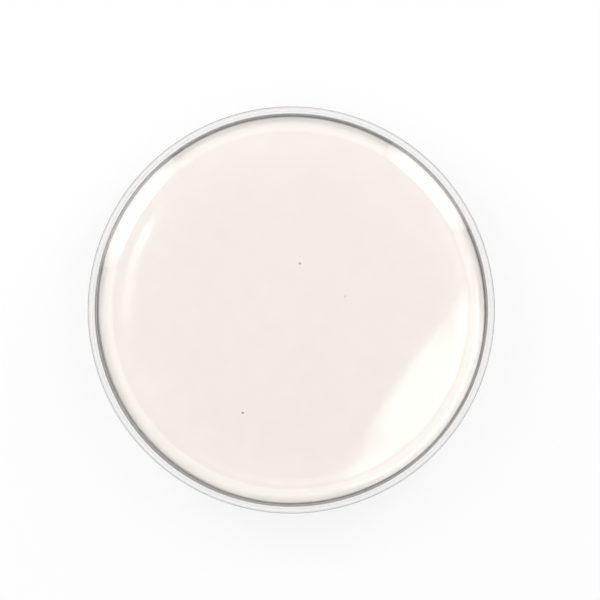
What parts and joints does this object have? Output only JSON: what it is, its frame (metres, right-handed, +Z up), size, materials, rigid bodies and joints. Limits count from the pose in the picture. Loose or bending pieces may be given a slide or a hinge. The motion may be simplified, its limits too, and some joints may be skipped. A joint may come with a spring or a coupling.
{
  "type": "wet palette",
  "caption": "Round clear dish with a slip-over lid that keeps a sheet of palette paper damp on a soaked sponge, so that paint laid on it stays workable.",
  "frame": {"origin": "centre of the dish's foot ring, on the plane that it stands on", "axes": "+Z up along the axis that every piece is turned about; X and Y are free, because every piece is round"},
  "size_m": [0.1, 0.1, 0.02],
  "materials": {
    "clear_lid": "clear, polished moulding",
    "clear_dish": "clear, polished moulding",
    "wet_paper": "damp cream paper with a wet sheen",
    "wet_sponge": "soaked open-pored cellulose"
  },
  "bodies": {
    "dish": {"base_dish": "clear_dish"},
    "sponge": {"sponge": "wet_sponge"},
    "paper": {"palette_paper": "wet_paper"},
    "lid": {"lid": "clear_lid"}
  },
  "joints": [
    {"name": "sponge_lift", "type": "slide", "parent": "dish", "child": "sponge", "axis": [0, 0, 1], "range_m": [0, 0.03]},
    {"name": "paper_lift", "type": "slide", "parent": "sponge", "child": "paper", "axis": [0, 0, 1], "range_m": [0, 0.025]},
    {"name": "lid_lift", "type": "slide", "parent": "paper", "child": "lid", "axis": [0, 0, 1], "range_m": [0, 0.035]}
  ]
}
